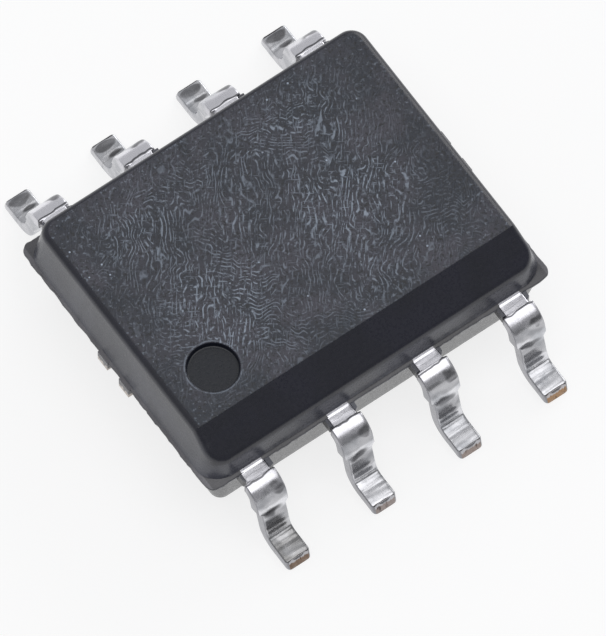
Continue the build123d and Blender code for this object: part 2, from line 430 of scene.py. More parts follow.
def lead_surface(side, end, pad, seed):
    """Strip section carried along the centre line. The section is a flat oval with half widths that step
    from pad to neck to stub to leg and draw in round the toe, and a surface dented and rippled by a few
    micrometres where the bending tool pressed it. Closed by a fan at both ends. Returns the mesh arrays
    and, for each point, its run past the knee, its place across, and how far it lies on a side face and
    on the outer face."""
    rows = lead_rows()
    out, height, bend, run, ends = centre_line(rows)
    total = ends[-1]
    pad_in, pad_out = pad
    stub_end = ends[2] + STUB_TAIL

    def step(at, width=0.008):
        return np.clip((run - at) / width + 0.5, 0, 1)

    on_pad = 1 - step(PAD_L)
    on_stub = step(ends[1]) * (1 - step(stub_end, 0.05))
    bare = LEG_HALF + (STUB_HALF - LEG_HALF) * on_stub
    half_in = bare + (pad_in - LEG_HALF) * on_pad
    half_out = bare + (pad_out - LEG_HALF) * on_pad
    from_toe = np.clip((run - (total - TOE_ROUND)) / TOE_ROUND, 0, 1)
    draw_in = TOE_ROUND * (1 - np.sqrt(1 - from_toe ** 2)) * 0.7
    half_in = half_in - draw_in
    half_out = half_out - draw_in

    # Round the corners of each section: both sides follow a small power of the turn
    turn = np.linspace(0, 2 * math.pi, LEAD_TURNS, endpoint=False) + math.pi / LEAD_TURNS
    half_t = STRIP_T / 2
    cos_t = np.cos(turn)[None, :]
    sin_t = np.sin(turn)[None, :]
    wide = np.where(cos_t > 0, half_out[:, None], half_in[:, None])
    across = np.sign(cos_t) * np.abs(cos_t) ** SECTION_POWER * wide
    through = np.sign(sin_t) * np.abs(sin_t) ** SECTION_POWER * half_t
    through = np.broadcast_to(through, across.shape).copy()

    # Dents and ripples left by the bending tool on the outer face
    past = (run - ends[1])[:, None]
    shift = 0.012 * math.sin(seed * 2.3)
    sway = 0.05 * math.sin(seed * 1.3)
    dents = (
        (0.016, LEG_RUN + 0.21 + shift, -0.03 + sway, 0.12, 0.17),
        (0.007, LEG_RUN - 0.05, 0.10, 0.10, 0.12),
        (0.012, HEEL_RUN - 0.08 + shift, sway, 0.07, 0.30),
        (0.008, HEEL_RUN + 0.14 - shift, 0.02, 0.06, 0.30),
        (0.006, FLAT_RUN + 0.06, -0.04, 0.05, 0.22),
    )
    pressed = sum(depth * dent(past, across, *place) for depth, *place in dents)
    ripple = 0.0008 * np.sin(past * 52 + seed * 1.7 + across * 9) * np.sin(past * 17 + seed)
    crown = 0.007 * (across / wide) ** 2
    top = np.clip(sin_t * 4, 0, 1)
    seen = past > -0.14
    through -= top * seen * (pressed + crown + 0.0017 + ripple)

    coined = np.clip((run - ends[4] + 0.10) / (total - ends[4] + 0.10), 0, 1)[:, None]
    through -= top * 0.017 * coined
    at_toe = np.clip((run - total + 0.12) / 0.12, 0, 1)[:, None]
    lean_in = TOE_LEAN * at_toe * (through + half_t) / (2 * half_t)
    blunt = 0.014 * from_toe[:, None] ** 3 * (np.abs(through) / half_t) ** 4
    tilt = bend[:, None]
    q = out[:, None] + through * np.sin(tilt) - blunt - lean_in
    z = height[:, None] + through * np.cos(tilt)
    x = across * side * end
    points = np.stack([x, side * q, np.maximum(z, 0.0)], axis=-1)
    on_side = np.clip((np.abs(cos_t) ** SECTION_POWER - 0.93) / 0.05, 0, 1)
    on_side = on_side * (np.abs(sin_t) ** SECTION_POWER < 0.985)
    marks = np.stack(np.broadcast_arrays(past, x, on_side, np.clip(sin_t * 2, 0, 1)), axis=-1)

    n_rows, n_turns = across.shape
    index = np.arange(n_rows * n_turns).reshape(n_rows, n_turns)
    a = index[:-1]
    b = index[1:]
    quads = np.stack([a, np.roll(a, -1, 1), np.roll(b, -1, 1), b], axis=-1).reshape(-1, 4)
    verts = points.reshape(-1, 3)
    hubs = np.stack([points[0].mean(0), points[-1].mean(0)])
    first = np.stack([np.full(n_turns, len(verts)), np.roll(index[0], -1), index[0]], axis=-1)
    last = np.stack([np.full(n_turns, len(verts) + 1), index[-1], np.roll(index[-1], -1)], axis=-1)
    hub_marks = np.stack([marks[0].mean(0), marks[-1].mean(0)])
    marks = np.concatenate([marks.reshape(-1, 4), hub_marks])
    return np.concatenate([verts, hubs]), quads, np.concatenate([first, last]), marks


def mesh_of(name, verts, quads, triangles, finish, marks=None, sharp=math.radians(50)):
    """Mesh object from millimetre points, four-sided and three-sided faces, smooth but for sharp edges,
    with the marks for its finish as named values at the points."""
    mesh = bpy.data.meshes.new(name)
    corners = np.concatenate([quads.reshape(-1), triangles.reshape(-1)]).astype(np.int32)
    sizes = np.concatenate([np.full(len(quads), 4), np.full(len(triangles), 3)]).astype(np.int32)
    starts = np.concatenate([[0], np.cumsum(sizes)[:-1]]).astype(np.int32)
    mesh.vertices.add(len(verts))
    mesh.vertices.foreach_set("co", (verts * MM).astype(np.float32).ravel())
    mesh.loops.add(len(corners))
    mesh.loops.foreach_set("vertex_index", corners)
    mesh.polygons.add(len(sizes))
    mesh.polygons.foreach_set("loop_start", starts)
    mesh.polygons.foreach_set("use_smooth", np.ones(len(sizes), bool))
    mesh.update(calc_edges=True)
    mesh.validate()
    mesh.set_sharp_from_angle(angle=sharp)
    mesh.materials.append(finish)
    for label, values in (marks or {}).items():
        kind, field = ("FLOAT_VECTOR", "vector") if values.ndim == 2 else ("FLOAT", "value")
        layer = mesh.attributes.new(label, kind, "POINT")
        layer.data.foreach_set(field, values.astype(np.float32).ravel())
    piece = bpy.data.objects.new(name, mesh)
    bpy.context.collection.objects.link(piece)
    return piece


TIN = (0.80, 0.80, 0.83, 1.0)
TIN_GREY = (0.52, 0.53, 0.56, 1.0)
# Painted highlight colour for the neck and the top of the knee.
TIN_PAINTED_HIGHLIGHT = (0.86, 0.85, 0.90, 1.0)
TIN_DARK = (0.13, 0.13, 0.14, 1.0)
# Sheared grey of the side faces, deepened with painted shade.
SHEARED_SIDE_AND_SHADE = (0.22, 0.22, 0.24, 1.0)
CUT_COPPER = (0.34, 0.21, 0.12, 1.0)
CUT_GREY = (0.30, 0.27, 0.27, 1.0)
TOE_BURR = (0.025, 0.018, 0.016, 1.0)
TOE_BROWN = (0.10, 0.07, 0.055, 1.0)
TIN_TARNISH = (0.17, 0.165, 0.155, 1.0)
COPPER_AT_TOE = (0.75, 0.15, 0.25, 1.0, 0.5, 0.4, 0.45, 0.35)
TARNISH_AT_FOOT = (0.75, 0.1, 0.1, 0.0, 0.1, 0.1, 0.2, 0.35)


def blotch(tree, along, across, at, size, edge=0.5):
    """One inside an ellipse round a place along and across, fading to nil over the share edge."""
    first = sums(tree, "DIVIDE", sums(tree, "SUBTRACT", along, at[0]), size[0])
    second = sums(tree, "DIVIDE", sums(tree, "SUBTRACT", across, at[1]), size[1])
    far = sums(tree, "ADD", times(tree, first, first), times(tree, second, second))
    return ramp(tree, far, (1 - edge) ** 2, (1 + edge) ** 2, 1.0, 0.0)


def tin_finish():
    """Matt tin over copper: cloudy patches and fine crystals; dark ovals and bands on the outer face that
    are painted reflections and painted shade, with a painted highlight on the neck and the top of the knee;
    dark folds, shallow creases whose darkness is painted shade, the main one where the tool gripped the
    shoulder;
    tarnish on the foot; grey sheared sides deepened with painted shade; and the bare cut face of the toe."""
    finish, tree, shader = new_finish("tinned_lead", metallic=1.0)
    spot, lead, tarnish = (part_of(tree, "ShaderNodeAttribute", attribute_name=name).outputs
                           for name in ("spot", "lead", "tarnish"))
    past_knee, off_middle, on_side = axes_of(tree, spot["Vector"])
    copper_share, far_row, on_outer = axes_of(tree, lead["Vector"])
    near_row = sums(tree, "SUBTRACT", 1.0, far_row)

    cloud = noise(tree, 3.2, detail=2.5, warp=0.6)
    swell = noise(tree, 3.6, detail=0.6, warp=0.4)
    crystal = noise(tree, 55.0, detail=1.5)
    rubbed = noise(tree, (3.0, 8.0, 8.0), detail=1.0, warp=0.5)
    uneven = ramp(tree, noise(tree, 6.0, detail=1.0), 0.25, 0.75, -0.030, 0.030)
    along = sums(tree, "ADD", past_knee, uneven)
    nearly = sums(tree, "ADD", past_knee, times(tree, uneven, 0.35))
    across = sums(tree, "ADD", off_middle, times(tree, uneven, 0.6))
    tint = blended(tree, ramp(tree, cloud, 0.40, 0.66), TIN, TIN_GREY)

    # Neck and the top of the knee painted paler: a painted highlight
    pressed = ramp(tree, along, 0.10, 0.20, 1.0, 0.0)
    tint = blended(tree, times(tree, pressed, 0.8), tint, TIN_PAINTED_HIGHLIGHT)

    # Painted reflections and shade on the outer face of the near row: a grey band below the knee, a dark
    # oval on the leg, a band above the heel, fine lines on the foot
    dark_reflection_bands = (
        ((LEG_RUN - 0.02, 0.00), (0.080, 0.40), 0.50),
        ((LEG_RUN + 0.20, -0.03), (0.065, 0.13), 1.00),
        ((LEG_RUN + 0.36, 0.02), (0.110, 0.40), 0.55),
        ((LEG_RUN + 0.47, -0.02), (0.040, 0.30), 0.45),
        ((HEEL_RUN + 0.17, 0.02), (0.035, 0.11), 0.40),
        ((FLAT_RUN + 0.10, 0.00), (0.160, 0.40), 0.22),
    )
    smear = greatest(tree, *(times(tree, blotch(tree, along, across, at, size, 0.4), depth)
                             for at, size, depth in dark_reflection_bands))
    # Painted shade: a dark patch on one side of the knee, on every lead.
    knee_shade = blotch(tree, along, across, (LEG_RUN - 0.09, 0.13), (0.045, 0.09), 0.5)
    smear = greatest(tree, times(tree, smear, near_row), times(tree, knee_shade, 0.95))
    # Painted reflections and shade on the far row: a dark oval near the toe and a dark line at the heel
    # bend.
    far_toe_reflection = blotch(tree, nearly, off_middle, (TOE_RUN - 0.12, -0.01), (0.080, 0.145), 0.15)
    bend = blotch(tree, nearly, off_middle, (FLAT_RUN + 0.05, 0.03), (0.030, 0.09), 0.35)
    far_reflections_and_shade = greatest(tree, times(tree, far_toe_reflection, 0.85), bend)
    smear = greatest(tree, smear, times(tree, far_reflections_and_shade, far_row))
    smear = times(tree, smear, on_outer)
    grain = ramp(tree, rubbed, 0.35, 0.65, 0.75, 1.0)
    tint = blended(tree, times(tree, smear, grain), tint, TIN_DARK)
    pits = ramp(tree, noise(tree, 16.0, detail=5.0, roughness=0.65), 0.66, 0.74)
    tint = blended(tree, times(tree, pits, 0.45), tint, TIN_DARK)

    # Folds: one at the start of the knee, a fainter one on the neck, two on the foot. Each is a shallow
    # crease in the bump; its darkness is painted shade
    folds = (
        (0.015, 0.009, 0.95),
        (-0.07, 0.006, 0.20),
        (FLAT_RUN + 0.03, 0.009, 0.25),
        (FLAT_RUN + 0.11, 0.006, 0.15),
    )
    fold = greatest(tree, *(
        ramp(tree, apart(tree, nearly, at_run), width * 0.4, width * 1.4, depth, 0.0)
        for at_run, width, depth in folds))
    tint = blended(tree, fold, tint, TIN_DARK)

    # Tarnish on the foot, more on some leads than on others
    aged = ramp(tree, along, LEG_RUN, TOE_RUN - 0.10)
    aged = times(tree, aged, ramp(tree, swell, 0.30, 0.62, 1.0, 0.35))
    aged = times(tree, aged, tarnish["Fac"])
    tint = blended(tree, times(tree, aged, on_outer), tint, TIN_TARNISH)

    # Side faces darker grey: sheared metal, deepened with painted shade, more on the near row than the far
    # row.
    sheared_sides_and_shade = times(tree, on_side, ramp(tree, cloud, 0.3, 0.7, 0.95, 0.55))
    sheared_sides_and_shade = times(tree, sheared_sides_and_shade, ramp(tree, far_row, 0.0, 1.0, 1.0, 0.45))
    tint = blended(tree, sheared_sides_and_shade, tint, SHEARED_SIDE_AND_SHADE)

    # Toe: dark burr along its upper edge, then the cut face
    toe_line = ramp(tree, nearly, TOE_RUN - 0.034, TOE_RUN - 0.022, 0.0, 0.9)
    toe_line = times(tree, toe_line, ramp(tree, on_side, 0.2, 0.8, 1.0, 0.25))
    tint = blended(tree, toe_line, tint, TOE_BURR)
    cut = ramp(tree, past_knee, TOE_RUN - 0.010, TOE_RUN - 0.004)
    streaks = noise(tree, (30.0, 4.0, 6.0), detail=3.0)
    face = blended(tree, copper_share, CUT_GREY, CUT_COPPER)
    face = blended(tree, ramp(tree, streaks, 0.30, 0.48, 0.8, 0.0), face, TOE_BURR)
    height = axes_of(tree, scaled_place(tree))[2]
    dragged = sums(tree, "ADD", height, times(tree, streaks, 0.10))
    dragged = times(tree, ramp(tree, dragged, 0.155, 0.175), 0.8)
    face = blended(tree, times(tree, tarnish["Fac"], 0.8), face, TOE_BROWN)
    face = blended(tree, dragged, face, TIN_GREY)
    tint = blended(tree, cut, tint, face)

    dress(tree, shader, tint, ramp(tree, sums(tree, "ADD", crystal, cloud), 0.7, 1.3, 0.20, 0.34))
    first = relief(tree, shader, crystal, 0.14)
    second = relief(tree, shader, rubbed, 0.6, after=first)
    third = relief(tree, shader, swell, 5.0, after=second)
    relief(tree, shader, sums(tree, "SUBTRACT", 1.0, fold), 1.0, after=third)
    return finish


tin = tin_finish()
row_places = [(number - 1.5) * PITCH for number in range(4)]
pin_places = [(x, -1) for x in row_places] + [(x, 1) for x in reversed(row_places)]
for number, (x, side) in enumerate(pin_places, start=1):
    end = 1 if x > 0 else -1
    pad = CORNER_PAD if abs(x) > PITCH else MIDDLE_PAD
    # The wider reach of a corner pad lies towards the middle of the row
    verts, quads, triangles, spots = lead_surface(side, end * side, pad, seed=number)
    verts[:, 0] += x
    kind = np.tile([COPPER_AT_TOE[number - 1], 1.0 if side > 0 else 0.0, 0.0], (len(verts), 1))
    kind[:, 2] = spots[:, 3]
    aged = np.full(len(verts), TARNISH_AT_FOOT[number - 1])
    marks = {"spot": spots[:, :3], "lead": kind, "tarnish": aged}
    lead = mesh_of(f"lead_{number}", verts, quads, triangles, tin, marks)
    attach(lead, "root")
    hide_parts(f"pin_{number}")


# Moulding
# One casting of black epoxy in two drafted halves. Upper half: rounded edges, a long bevel beside
# pins 1 to 4 and the dimple of pin 1. At the parting line a thin ledge, then the lower half.
BODY_HALF = (2.45, 1.95)
BODY_TOP = 1.70
BODY_BOTTOM = 0.22
PARTING = 1.055
BODY_CORNER_R = 0.30
UPPER_DRAFT = math.radians(8.0)
LOWER_DRAFT = math.radians(11.0)
EDGE_R = 0.11
BEVEL_TOP_Y = -1.45
BEVEL_SLOPE = math.radians(34.0)
CREASE_R = 0.03
LEDGE_OUT = 0.06
LEDGE_END_OUT = 0.08
END_FLARE = 0.035
LEDGE_T = 0.05
LEDGE_CORNER_R = 0.14
LOWER_OUT = 0.04
LOWER_END_SLIM = 0.03
UNDERSIDE_EDGE_R = 0.05
DIMPLE_AT = (-1.70, -0.90)
DIMPLE_R = 0.32
DIMPLE_DEPTH = 0.08
DIMPLE_RIM_R = 0.02
DIMPLE_FLOOR_R = 0.02
EJECTOR_AT = ((-1.30, 0.0), (1.30, 0.0))
EJECTOR_R = 0.45
EJECTOR_DEPTH = 0.03
EJECTOR_RIM_R = 0.008
EJECTOR_FLOOR_R = 0.012
LID_MARGIN = 0.08
LID_SPACING = 0.06
CORNER_CELLS = 8


def patch_offsets(radius, fillet, floor_fillet, cells):
    """Distances from the middle of a round recess at which its rings stand, close together at the wall."""
    inner = np.linspace(0, radius - floor_fillet - 0.004, cells)
    wall = radius + np.array([-1.0, -0.8, -0.6, -0.4, -0.2]) * floor_fillet
    rim = radius + np.array([0.0, 0.002, 0.2 * fillet, 0.4 * fillet, 0.6 * fillet, 0.8 * fillet, fillet])
    outer = radius + fillet + np.array([0.008, 0.02, 0.045, 0.075, 0.10])
    return np.unique(np.concatenate([inner, wall, rim, outer]))


def both_sides(centre, offsets):
    """Places at the given distances on both sides of a centre."""
    return np.concatenate([centre - offsets[::-1], centre + offsets])


def lid_lines(low, high, core_low, core_high, wanted, spacing):
    """Grid lines across the lid: even in both corner blocks, at every wanted place between them, and at
    most spacing apart."""
    corner_low = np.linspace(low, core_low, CORNER_CELLS + 1)
    corner_high = np.linspace(core_high, high, CORNER_CELLS + 1)
    fixed = np.unique(np.round(np.concatenate([wanted, [core_low, core_high]]), 5))
    fixed = fixed[(fixed >= core_low - 1e-9) & (fixed <= core_high + 1e-9)]
    gaps = np.diff(fixed)
    counts = np.maximum(1, np.ceil(gaps / spacing - 1e-6)).astype(int)
    between = [np.linspace(a, b, n, endpoint=False) for a, b, n in zip(fixed[:-1], fixed[1:], counts)]
    middle_lines = np.concatenate(between + [[fixed[-1]]])
    return np.concatenate([corner_low[:-1], middle_lines, corner_high[1:]])


def rounded_lid(lines_x, lines_y, core, margin):
    """Grid of straight lines whose four corner blocks are pressed into quarter discs: a point at shares
    u, v of its block goes to u * sqrt(1 - v * v / 2), v * sqrt(1 - u * u / 2)."""
    x, y = np.meshgrid(lines_x, lines_y, indexing="ij")
    u = np.clip((np.abs(x) - core[0]) / margin, 0, 1)
    v = np.clip((np.abs(y) - core[1]) / margin, 0, 1)
    new_x = np.where(u > 0, np.sign(x) * (core[0] + margin * u * np.sqrt(1 - v * v / 2)), x)
    new_y = np.where(v > 0, np.sign(y) * (core[1] + margin * v * np.sqrt(1 - u * u / 2)), y)
    return new_x, new_y


def ringed(x, y, centre, inner, outer):
    """Square rings of the grid around centre turned into circles out to inner, fading back by outer."""
    a = x - centre[0]
    b = y - centre[1]
    square = np.maximum(np.abs(a), np.abs(b))
    length = np.maximum(np.hypot(a, b), 1e-9)
    fade = np.clip((outer - square) / (outer - inner), 0, 1)
    fade = fade * fade * (3 - 2 * fade)
    scale = np.where(square < outer, 1 + fade * (square / length - 1), 1.0)
    return centre[0] + a * scale, centre[1] + b * scale


def recess(x, y, centre, radius, depth, rim_r, floor_r):
    """Depth of a round recess: level floor, hollow fillet, steep wall and rounded rim."""
    r = np.hypot(x - centre[0], y - centre[1])
    floor = np.clip(r - (radius - floor_r), 0, floor_r)
    up_from_floor = floor_r - np.sqrt(np.maximum(floor_r ** 2 - floor ** 2, 0))
    rim = np.clip(radius + rim_r - r, 0, rim_r)
    down_from_top = rim_r - np.sqrt(np.maximum(rim_r ** 2 - rim ** 2, 0))
    return np.where(r <= radius, depth - up_from_floor, np.where(r < radius + rim_r, down_from_top, 0.0))


def lid_height(x, y):
    """Top of the moulding: level, then an arc over the crease, then the bevel."""
    tangent = CREASE_R * math.tan(BEVEL_SLOPE / 2)
    start = BEVEL_TOP_Y + tangent
    past = start - y
    arc_end = CREASE_R * math.sin(BEVEL_SLOPE)
    arc = CREASE_R - np.sqrt(np.maximum(CREASE_R ** 2 - np.clip(past, 0, arc_end) ** 2, 0))
    beyond = np.maximum(past - arc_end, 0) * math.tan(BEVEL_SLOPE)
    return BODY_TOP - arc - beyond


def round_join(a, b, c, radius):
    """Distance to two planes whose normals have the dot product c, joined by a fillet of the radius:
    inside the fillet the distance from its axis less the radius, elsewhere the larger of the two."""
    p = a + radius
    q = b + radius
    inside = (p - c * q > 0) & (q - c * p > 0)
    from_axis = np.sqrt(np.maximum((p * p + q * q - 2 * c * p * q) / (1 - c * c), 0))
    return np.where(inside, from_axis - radius, np.maximum(a, b))


core_x = BODY_HALF[0] - BODY_CORNER_R
core_y = BODY_HALF[1] - BODY_CORNER_R


def upper_distance(x, y, z):
    """Distance outside the upper half: drafted walls with rounded corners, lid with its bevel, joined by
    the edge fillet."""
    shrink = (z - PARTING) * math.tan(UPPER_DRAFT)
    over_x = np.abs(x) - core_x
    over_y = np.abs(y) - core_y
    away = np.hypot(np.maximum(over_x, 0), np.maximum(over_y, 0))
    away = away + np.minimum(np.maximum(over_x, over_y), 0)
    wall = (away - (BODY_CORNER_R - shrink)) * math.cos(UPPER_DRAFT)
    top = z - BODY_TOP
    slope = -math.sin(BEVEL_SLOPE) * (y - BEVEL_TOP_Y) + math.cos(BEVEL_SLOPE) * top
    lid = round_join(top, slope, math.cos(BEVEL_SLOPE), CREASE_R)
    on_slope = np.clip((slope - top) / 0.02 + 0.5, 0, 1)
    wall_y = np.where(over_y > 0, np.sign(y) * np.maximum(over_y, 0) / np.maximum(away, 1e-6), 0.0)
    dot_top = math.sin(UPPER_DRAFT)
    dot_slope = (math.sin(UPPER_DRAFT) * math.cos(BEVEL_SLOPE)
                 - math.cos(UPPER_DRAFT) * math.sin(BEVEL_SLOPE) * np.clip(wall_y, -1, 1))
    dot = dot_top + on_slope * (dot_slope - dot_top)
    return round_join(wall, lid, dot, EDGE_R)


def rim_of(grid):
    """Border of a grid as one loop, anticlockwise from its first corner."""
    return np.concatenate([grid[:-1, 0], grid[-1, :-1], grid[:0:-1, -1], grid[0, :0:-1]])


base_core = (BODY_HALF[0] + LOWER_OUT - LOWER_END_SLIM - BODY_CORNER_R,
             BODY_HALF[1] + LOWER_OUT - BODY_CORNER_R)
grow_x = base_core[0] / core_x
grow_y = base_core[1] / core_y
dimple_rings = patch_offsets(DIMPLE_R, DIMPLE_RIM_R, DIMPLE_FLOOR_R, 7)
ejector_rings = patch_offsets(EJECTOR_R, EJECTOR_RIM_R, EJECTOR_FLOOR_R, 9)
crease_lines = BEVEL_TOP_Y + np.linspace(-0.014, 0.014, 9)
wanted_x = np.concatenate([both_sides(DIMPLE_AT[0], dimple_rings)]
                          + [both_sides(at[0], ejector_rings) / grow_x for at in EJECTOR_AT])
wanted_y = np.concatenate([both_sides(DIMPLE_AT[1], dimple_rings), crease_lines,
                           both_sides(EJECTOR_AT[0][1], ejector_rings) / grow_y])
lines_x = lid_lines(-core_x - LID_MARGIN, core_x + LID_MARGIN, -core_x, core_x, wanted_x, LID_SPACING)
lines_y = lid_lines(-core_y - LID_MARGIN, core_y + LID_MARGIN, -core_y, core_y, wanted_y, LID_SPACING)
plain_x, plain_y = rounded_lid(lines_x, lines_y, (core_x, core_y), LID_MARGIN)
lid_x, lid_y = ringed(plain_x, plain_y, DIMPLE_AT, DIMPLE_R + DIMPLE_RIM_R + 0.02, dimple_rings[-1])
lid_z = lid_height(lid_x, lid_y) - recess(lid_x, lid_y, DIMPLE_AT, DIMPLE_R, DIMPLE_DEPTH,
                                          DIMPLE_RIM_R, DIMPLE_FLOOR_R)

# Round the border: place on the core rectangle and outward direction of every border point
border_x = rim_of(lid_x)
border_y = rim_of(lid_y)
share_x = np.clip(border_x / core_x, -1, 1)
share_y = np.clip(border_y / core_y, -1, 1)
on_core = np.stack([share_x * core_x, share_y * core_y], axis=-1)
outward = np.stack([border_x, border_y], axis=-1) - on_core
outward /= np.linalg.norm(outward, axis=1, keepdims=True)
perimeter = np.concatenate([[0], np.cumsum(np.hypot(np.diff(border_x), np.diff(border_y)))])


def ring_at(half_x, half_y, corner_r, z, spread=0.0):
    """Rounded rectangle at height z: the border's shares of a core rectangle, plus the corner radius."""
    x = share_x * (half_x - corner_r) + outward[:, 0] * (corner_r + spread)
    y = share_y * (half_y - corner_r) + outward[:, 1] * (corner_r + spread)
    return np.stack([x, y, np.broadcast_to(z, x.shape)], axis=-1)


def ragged(scale, seed):
    """Uneven flash along the border: a sum of sines of different lengths, from 0 to 1."""
    total = perimeter[-1]
    value = np.zeros_like(perimeter)
    for waves, weight in ((23, 0.3), (57, 0.25), (131, 0.25), (211, 0.2)):
        value += weight * np.sin(2 * math.pi * waves * perimeter / total + seed * waves)
    return scale * np.clip(0.5 + 0.5 * value, 0, 1)


# Edge fillet of the upper half: rays from inside each border point, fanned from straight up to level,
# each followed to where the distance to the surface is nil
ANCHOR_DEPTH = 0.13
fan = np.linspace(0, math.pi / 2, 16)[1:]
anchor_z = lid_height(border_x, border_y) - ANCHOR_DEPTH
anchor = np.stack([border_x, border_y, anchor_z], axis=-1)
rows = []
for angle in fan:
    direction = np.column_stack([outward * math.sin(angle), np.full(len(border_x), math.cos(angle))])
    near = np.zeros(len(border_x))
    far = np.full(len(border_x), 0.45)
    for _ in range(40):
        half_way = (near + far) / 2
        at = anchor + direction * half_way[:, None]
        outside = upper_distance(at[:, 0], at[:, 1], at[:, 2]) > 0
        far = np.where(outside, half_way, far)
        near = np.where(outside, near, half_way)
    rows.append(anchor + direction * near[:, None])

# Wall down to the parting line
wall_start = rows[-1][:, 2]
for share in np.linspace(0, 1, 7)[1:]:
    z = wall_start + (PARTING + 0.004 - wall_start) * share
    shrink = (z - PARTING) * math.tan(UPPER_DRAFT)
    x = share_x * core_x + outward[:, 0] * (BODY_CORNER_R - shrink + END_FLARE * share ** 2)
    y = share_y * core_y + outward[:, 1] * (BODY_CORNER_R - shrink)
    rows.append(np.stack([x, y, z], axis=-1))

# Ledge with its ragged edge, a touch lower than the tops of the necks and tie bars
LEDGE_TOP = PARTING - 0.002
ledge_x = BODY_HALF[0] + LEDGE_END_OUT
ledge_y = BODY_HALF[1] + LEDGE_OUT
LEDGE_EDGE_R = 0.012
bite = ragged(0.022, 0.37)
lift = ragged(0.010, 1.91)
rows.append(ring_at(BODY_HALF[0] + END_FLARE + 0.006, BODY_HALF[1] + 0.006, BODY_CORNER_R, LEDGE_TOP))
rows.append(ring_at(ledge_x, ledge_y, LEDGE_CORNER_R, LEDGE_TOP, -0.014 - bite))
for angle in np.linspace(0, math.pi / 2, 4)[1:]:
    rows.append(ring_at(ledge_x, ledge_y, LEDGE_CORNER_R,
                        LEDGE_TOP - LEDGE_EDGE_R * (1 - math.cos(angle)),
                        -bite - LEDGE_EDGE_R * (1 - math.sin(angle))))
for angle in np.linspace(0, math.pi / 2, 4):
    rows.append(ring_at(ledge_x, ledge_y, LEDGE_CORNER_R,
                        PARTING - LEDGE_T + lift + LEDGE_EDGE_R * (1 - math.sin(angle)),
                        -bite - LEDGE_EDGE_R * (1 - math.cos(angle))))

# Lower half and its rounded lower edge
lower_x = BODY_HALF[0] + LOWER_OUT
lower_y = BODY_HALF[1] + LOWER_OUT


def lower_ring(z, spread):
    """Ring of the lower half at height z. Towards the bottom its ends slim a little more than its sides."""
    slim = LOWER_END_SLIM * (PARTING - z) / (PARTING - BODY_BOTTOM)
    return ring_at(lower_x - slim, lower_y, BODY_CORNER_R, z, spread)


under = UNDERSIDE_EDGE_R
turn_in = math.pi / 2 - LOWER_DRAFT
edge_drop = under * (1 - math.sin(LOWER_DRAFT))
low_wall_z = BODY_BOTTOM + edge_drop
for z in np.linspace(PARTING - LEDGE_T, low_wall_z, 6):
    rows.append(lower_ring(z, -(PARTING - z) * math.tan(LOWER_DRAFT)))
wall_spread = -(PARTING - low_wall_z) * math.tan(LOWER_DRAFT)
for angle in np.linspace(0, turn_in, 7)[1:]:
    tilt = LOWER_DRAFT + angle
    z = low_wall_z - under * (math.sin(tilt) - math.sin(LOWER_DRAFT))
    rows.append(lower_ring(z, wall_spread - under * (math.cos(LOWER_DRAFT) - math.cos(tilt))))

# Underside: the same grid of lines, drawn to the last ring, with its two ejector marks
flat_r = BODY_CORNER_R + wall_spread - under * math.cos(LOWER_DRAFT)
base_x = np.where(np.abs(plain_x) > core_x,
                  np.sign(plain_x) * (base_core[0] + (np.abs(plain_x) - core_x) * flat_r / LID_MARGIN),
                  plain_x * grow_x)
base_y = np.where(np.abs(plain_y) > core_y,
                  np.sign(plain_y) * (base_core[1] + (np.abs(plain_y) - core_y) * flat_r / LID_MARGIN),
                  plain_y * grow_y)
base_z = np.full(base_x.shape, BODY_BOTTOM)
for at in EJECTOR_AT:
    base_x, base_y = ringed(base_x, base_y, at, EJECTOR_R + 0.015, ejector_rings[-1])
    base_z = base_z + recess(base_x, base_y, at, EJECTOR_R, EJECTOR_DEPTH,
                             EJECTOR_RIM_R, EJECTOR_FLOOR_R)

ring_count = len(border_x)
lid_index = np.arange(lid_x.size).reshape(lid_x.shape)
ring_index = lid_x.size + np.arange((len(rows) - 1) * ring_count).reshape(-1, ring_count)
base_index = lid_x.size + ring_index.size + np.arange(base_x.size).reshape(base_x.shape)
all_rings = np.concatenate([rim_of(lid_index)[None], ring_index, rim_of(base_index)[None]])
above = all_rings[:-1]
below = all_rings[1:]
ring_quads = np.stack([above, below, np.roll(below, -1, 1), np.roll(above, -1, 1)], axis=-1)


def cells_of(index):
    """Faces of a grid seen from above, anticlockwise from each lowest corner."""
    return np.stack([index[:-1, :-1], index[1:, :-1], index[1:, 1:], index[:-1, 1:]], axis=-1)


lid_quads = cells_of(lid_index)
base_quads = cells_of(base_index.T)
verts = np.concatenate([
    np.stack([lid_x, lid_y, lid_z], axis=-1).reshape(-1, 3),
    np.concatenate(rows[:-1]),
    np.stack([base_x, base_y, base_z], axis=-1).reshape(-1, 3),
])
quads = np.concatenate([ring_quads.reshape(-1, 4), lid_quads.reshape(-1, 4), base_quads.reshape(-1, 4)])

# Flash beside the necks: sixteen little blocks of resin, their outer ends broken off unevenly
FLASH_IN = 1.89
FLASH_OUT = 2.13
FLASH_WIDE = 0.09
flash_x = np.repeat(row_places * 2, 2)
flash_row = np.repeat([-1.0, 1.0], 8)
flash_side = np.tile([-1.0, 1.0], 8)
uneven = 0.5 + 0.5 * np.sin(np.arange(16) * 2.7 + 0.6)
block_wide = FLASH_WIDE * np.where(flash_side < 0, 0.45, 0.9)[:, None]
corner = np.array([(a, b, c) for c in (0, 1) for b in (0, 1) for a in (0, 1)], float)
narrowing = 1.0 - 0.5 * (0.5 + 0.5 * corner[:, 1]) * uneven[:, None]
block_x = flash_side[:, None] * (LEG_HALF + corner[:, 0] * block_wide * narrowing) + flash_x[:, None]
reach = FLASH_OUT - 0.07 * uneven[:, None] * (0.4 + 0.6 * corner[:, 0])
block_y = flash_row[:, None] * (FLASH_IN + corner[:, 1] * (reach - FLASH_IN))
block_z = PARTING - 0.006 - 0.02 * corner[:, 1] * uneven[:, None] - (1 - corner[:, 2]) * (STRIP_T - 0.03)
